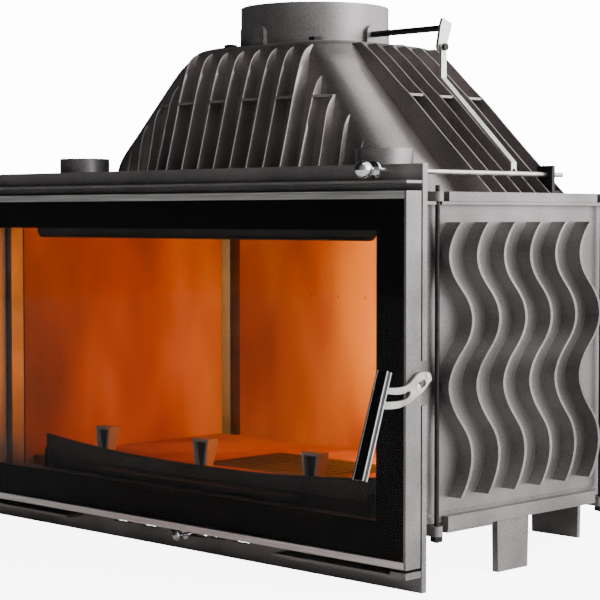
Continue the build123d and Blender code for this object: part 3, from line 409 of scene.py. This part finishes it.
def hood_out(z, sideways, column):
    """How far the hood reaches outwards at height z, that far sideways off its middle, in mm.

    column 2 of the rows asks for the front and column 1 for a side. Past the flat part it follows the
    corner's circle. The last two rows, which turn in to the flue, are left out.
    """
    out, across, r = (np.interp(z, HOOD_ROWS[:10, 0], HOOD_ROWS[:10, c]) for c in (column, 3 - column, 3))
    over = np.clip(abs(sideways) - (across - r), 0.0, r)
    return out - r + np.sqrt(r ** 2 - over ** 2)


TIP_HALF, ROOT_HALF = 1.25, 2.6         # half thickness of a fin at its tip and at its root
FIN_STEPS, ROUND_POINTS = 48, 9         # points up a fin and round its tip


def fin_mesh(tip, root, place):
    """A thin upright fin. tip and root are curves of (outward distance, height) in mm, point by point.

    Across the fin the section is a half circle round the tip, and two faces that draw apart to the root.
    place turns (outward distance, height, sideways) into a point.
    """
    tip, root = through(tip, FIN_STEPS), through(root, FIN_STEPS)
    arc = np.linspace(np.pi / 2, -np.pi / 2, ROUND_POINTS)
    face = np.array([1.0, 0.6, 0.25, 0.06])     # places on a face, from root to tip
    flank = TIP_HALF + (ROOT_HALF - TIP_HALF) * face
    along = np.concatenate([face, np.zeros(ROUND_POINTS), face[::-1]])
    side = np.concatenate([flank, TIP_HALF * np.sin(arc), -flank[::-1]])
    level = np.zeros(len(face))
    back = np.concatenate([level, TIP_HALF - TIP_HALF * np.cos(arc), level])
    direction = root - tip
    unit = direction / np.maximum(np.linalg.norm(direction, axis=1)[:, None], 1e-6)
    flat = tip[:, None] + direction[:, None] * along[:, None] + unit[:, None] * back[:, None]
    sideways = np.repeat(side[None, :], len(tip), axis=0)
    points = place(flat[..., 0], flat[..., 1], sideways)
    mesh = to_mesh("fin", points * MM, grid_faces(*sideways.shape, False))
    mark_edges(mesh, FIN_EDGE)
    return mesh


# Fins: the tips' (distance behind the front face or out from the middle, height), from the foot upwards
FRONT_TIPS = {
    3: [(62.8, 447.5), (72.1, 481.5), (89.1, 545.9), (94.9, 568.7), (102.8, 596.4), (109.4, 615.3),
        (114.4, 624.7), (120.3, 631.1), (129.3, 636.1)],
    4: [(68.5, 447.5), (78.3, 481.5), (95.3, 544.1), (99.4, 557.4), (103.1, 569.9), (110.0, 584.7),
        (117.6, 593.2), (127.1, 598.0)],
    5: [(75.3, 447.5), (85.4, 481.7), (95.2, 527.5), (100.4, 550.3), (107.1, 562.7), (114.2, 569.7),
        (124.6, 574.0)],
    6: [(81.9, 447.5), (92.4, 481.8), (97.2, 508.6), (101.4, 527.2), (106.4, 538.3), (113.2, 545.1),
        (124.7, 549.1)],
    7: [(89.1, 447.5), (98.5, 481.9), (103.6, 504.9), (109.5, 517.8), (116.6, 525.1), (127.5, 529.4)],
}
ALIKE = 3                               # front fins 0 to 3 share the first curve
FIN_X = (15.3, 45.9, 76.5, 107.1, 134.0, 161.0, 188.9, 216.7)
SIDE_TIP = [
    (363.5, 447.5), (336.9, 472.4), (281.9, 524.1), (238.2, 566.0), (216.8, 584.2), (183.3, 614.5),
    (174.5, 622.0), (165.5, 629.0), (152.0, 638.6),
]
SIDE_FINS, SIDE_PITCH = 6, 28.4
SIDE_Y = [FLUE_Y + (k - (SIDE_FINS - 1) / 2) * SIDE_PITCH for k in range(SIDE_FINS)]
SUNK = 5.0                              # how far a fin's root is inside the hood's face
SHALLOWEST = 2.0                        # least depth of a fin
ROOT_DROP, DROP_ABOVE = 2.0, 500.0      # a front fin's root is this much lower than its tip, above this

# Webs join fins in pairs: the first fin's number, and the two depths of the web's front edge
FRONT_WEBS = ((0, 94.7, 94.7), (2, 94.7, 94.7), (4, 102.0, 111.5))
FRONT_WEB_Z, FRONT_WEB_BACK = 568.7, 132.0
SIDE_WEBS = (0, 2, 4)
SIDE_WEB_Z, SIDE_WEB_IN, SIDE_WEB_OUT = 570.0, 190.0, 231.5
WEB_HALF = 1.5


def web_mesh(corners, z):
    """A flat web between two fins: the outline given by its corners, as a slab round height z."""
    count = len(corners)
    points = [(x, y, z + side * WEB_HALF) for side in (-1, 1) for x, y in corners]
    faces = [tuple(range(count - 1, -1, -1)), tuple(range(count, 2 * count))]
    faces += [(k, (k + 1) % count, count + (k + 1) % count, count + k) for k in range(count)]
    mesh = bpy.data.meshes.new("web")
    mesh.from_pydata((np.array(points) * MM).tolist(), [], faces)
    mesh.update()
    return mesh


def join(name, meshes):
    """One mesh from several."""
    form = bmesh.new()
    for mesh in meshes:
        form.from_mesh(mesh)
    made = bpy.data.meshes.new(name)
    form.to_mesh(made)
    form.free()
    return made


def front_fins():
    """Eight pairs of fins on the front slope, shorter towards the corners, with their webs."""
    meshes = []
    for k, half_x in enumerate(FIN_X):
        tip = np.array(FRONT_TIPS[max(k, ALIKE)])
        inner = FLUE_MM - hood_out(tip[:, 1], half_x, 2) + SUNK
        drop = ROOT_DROP * (tip[:, 1] > DROP_ABOVE)
        root = np.stack([np.maximum(inner, tip[:, 0] + SHALLOWEST), tip[:, 1] - drop], -1)
        for x in (half_x, -half_x):
            def place(out, up, sideways, x=x):
                return np.stack([x + sideways, out + FRONT_MM, up], -1)

            meshes.append(fin_mesh(tip, root, place))
    for k, near, far in FRONT_WEBS:
        (x0, x1), back = FIN_X[k:k + 2], FRONT_WEB_BACK + FRONT_MM
        corners = [(x0, near + FRONT_MM), (x1, far + FRONT_MM), (x1, back), (x0, back)]
        meshes.append(web_mesh(corners, FRONT_WEB_Z))
        meshes.append(web_mesh([(-x, y) for x, y in reversed(corners)], FRONT_WEB_Z))
    return join("hood_fins_front", meshes)


def side_fins(right):
    """Six fins on a side slope, with their webs."""
    meshes = []
    sign = 1.0 if right else -1.0
    tip = np.array(SIDE_TIP)
    for deep in SIDE_Y:
        inner = hood_out(tip[:, 1], deep - FLUE_Y, 1) - SUNK
        root = np.stack([np.minimum(inner, tip[:, 0] - SHALLOWEST), tip[:, 1]], -1)

        def place(out, up, sideways, y=deep):
            return np.stack([sign * out, y + sign * sideways, up], -1)

        meshes.append(fin_mesh(tip, root, place))
    for k in SIDE_WEBS:
        near, far = SIDE_Y[k:k + 2]
        corners = [(SIDE_WEB_IN, near), (SIDE_WEB_OUT, near), (SIDE_WEB_OUT, far), (SIDE_WEB_IN, far)]
        if not right:
            corners = [(-x, y) for x, y in reversed(corners)]
        meshes.append(web_mesh(corners, SIDE_WEB_Z))
    return join("hood_fins_right" if right else "hood_fins_left", meshes)


hood_shell()
for mesh in (front_fins(), side_fins(True), side_fins(False)):
    new_piece(mesh.name, mesh, "body", LIT_HOOD_IRON, SLOT_OF["hood"], "hood")


# Log retainer: raised scales on its face, and painted shade on the floors of the three posts' hollows. DIP is
# its top edge
DIP = np.array([
    (-313.0, 117.5), (-262.0, 112.5), (-196.0, 107.5), (-100.0, 103.6), (0.0, 102.5), (100.0, 103.6),
    (196.0, 107.5), (262.0, 112.5), (313.0, 117.5),
])
BAND_HALF, BAND_LOW, BAND_DROP = 296.0, 86.5, 3.0       # the scales' band, and its gap under the top edge
RETAINER_Y = FRONT_MM + 31.0
WAVE_MM, SCALE_PROUD, BEHIND = 9.0, 1.2, 0.3
BORDER_MM = 1.5
ACROSS, UP = 941, 27                    # points over the band

POST_X = (-196.0, 0.0, 196.0)
HOLLOW_Y = FRONT_MM + 40.3
HOLLOW_LOW, HOLLOW_HIGH = (4.3, 96.3), (10.1, 131.2)    # half width and height at each end


def retainer_scales():
    """Raised scales between the retainer's lip and its top edge.

    The height is the root of the product of two waves that run diagonally across the face, one rising to
    the right and one to the left, each 9 mm long, so that rows of rounded diamonds stand 1.2 mm proud. It
    falls to nothing at the band's border.
    """
    across = np.linspace(-BAND_HALF, BAND_HALF, ACROSS)[None, :]
    up = np.linspace(0.0, 1.0, UP)[:, None]
    high = np.interp(across, DIP[:, 0], DIP[:, 1]) - BAND_DROP
    z = BAND_LOW + (high - BAND_LOW) * up
    x = np.broadcast_to(across, z.shape)
    wave = abs(np.sin(np.pi * (x + z) / WAVE_MM) * np.sin(np.pi * (x - z) / WAVE_MM))
    edge = np.minimum.reduce([z - BAND_LOW, high - z, BAND_HALF - abs(x)])
    border = np.clip(edge / BORDER_MM, 0.0, 1.0)
    y = RETAINER_Y + BEHIND - (BEHIND + SCALE_PROUD * np.sqrt(wave)) * border
    points = np.stack([x, y, z], -1) * MM
    return to_mesh("retainer_scales", points, grid_faces(*z.shape, False))


def post_hollow_shade():
    """Floors of the hollows in the posts' faces, near black as painted shade: one upright panel each, wider
    at the top.
    """
    (foot, low), (head, high) = HOLLOW_LOW, HOLLOW_HIGH
    corners = [(-foot, low), (foot, low), (head, high), (-head, high)]
    points = np.array([(x + side, HOLLOW_Y, z) for x in POST_X for side, z in corners]) * MM
    return to_mesh("post_hollow_shade", points, np.arange(len(points)).reshape(-1, 4))


scales = retainer_scales()
mark_edges(scales, HARD_EDGE)
new_piece("retainer_scales", scales, "body", SCALES, SLOT_OF["log_retainer"])
new_piece("post_hollow_shade", post_hollow_shade(), "body", HOLLOW_SHADE_IRON, SLOT_OF["log_posts"])


# Studio
FLOOR_HALF = 6.0
FLOOR_SEEN, BACKDROP_SEEN = 7.0, 14.0   # what the camera sees of the floor's lift and of the backdrop
SKY_LEVEL = 0.02
SKY_LOBES = (((0.72, 0.68, 0.14), 4.2), ((0.80, -0.58, 0.16), 0.35))    # direction and level of each glow
# Name, place, what it points at, width, watts, tint and how tall it is for its width
LIGHTS = (
    ("right_softbox", (2.6, 0.6, 1.3), (0.3, 0.0, 0.3), 1.8, 38.0, "#ffffff", 1.0),
    ("top_softbox", (0.9, -0.1, 2.6), (0.1, 0.1, 0.5), 1.6, 12.0, "#ffffff", 1.0),
    ("fire_glow", (0.25, FRONT + 0.20, 0.20), (0.27, 0.3, 0.27), 0.22, 7.0, "#ffd000", 0.6),
    ("fire_spill", (0.20, FRONT + 0.16, 0.24), (-0.35, 0.30, 0.30), 0.20, 1.7, "#ff8c10", 0.7),
)


def area_light(name, place, target, size, power, tint, stretch):
    """A rectangular lamp at place, turned to shine at target."""
    light = bpy.data.lights.new(name, "AREA")
    light.shape = "RECTANGLE"
    light.size = size
    light.size_y = size * stretch
    light.energy = power
    light.color = colour(tint)[:3]
    lamp = bpy.data.objects.new(name, light)
    lamp.location = place
    lamp.rotation_euler = (Vector(target) - Vector(place)).to_track_quat("-Z", "Y").to_euler()
    scene.collection.objects.link(lamp)


def pale_floor():
    """A pale matt floor, lifted to near white where the camera sees it."""
    mesh = bpy.data.meshes.new("floor")
    corners = [(x * FLOOR_HALF, y * FLOOR_HALF, 0.0) for x, y in ((-1, -1), (1, -1), (1, 1), (-1, 1))]
    mesh.from_pydata(corners, [], [(0, 1, 2, 3)])
    white = colour("#ffffff")
    made, tree, shader = material(
        "pale_floor", Base_Color=colour("#f4f3f2"), Roughness=0.9, Emission_Color=white,
    )
    seen = add(tree, "LightPath", out="Is Camera Ray")
    lift = add(tree, "Math", {"operation": "MULTIPLY", 1: FLOOR_SEEN}, i0=seen)
    wire(tree, shader, Emission_Strength=lift)
    mesh.materials.append(made)
    plane = bpy.data.objects.new("floor", mesh)
    scene.collection.objects.link(plane)


def soft_sky():
    """A dim sky with two broad glows to the right, plain and bright where the camera sees it."""
    world = bpy.data.worlds.new("studio")
    world.use_nodes = True
    scene.world = world
    tree = world.node_tree
    back = tree.nodes["Background"]
    where = add(tree, "TexCoord", out="Generated")
    glows = []
    for way, level in SKY_LOBES:
        towards = add(tree, "VectorMath", {"operation": "DOT_PRODUCT", 1: way}, "Value", i0=where)
        reach = {"From Min": 0.25, "From Max": 1.0, "To Min": 0.0, "To Max": level}
        glows.append(add(tree, "MapRange", reach, Value=towards))
    both = add(tree, "Math", {"operation": "ADD"}, i0=glows[0], i1=glows[1])
    sky = add(tree, "Math", {"operation": "ADD", 1: SKY_LEVEL}, i0=both)
    seen = add(tree, "LightPath", out="Is Camera Ray")
    strength = add(tree, "Mix", {"data_type": "FLOAT", 3: BACKDROP_SEEN}, i0=seen, i2=sky)
    wire(tree, back, Strength=strength)
    back.inputs["Color"].default_value = colour("#ffffff")


pale_floor()
soft_sky()
for light in LIGHTS:
    area_light(*light)
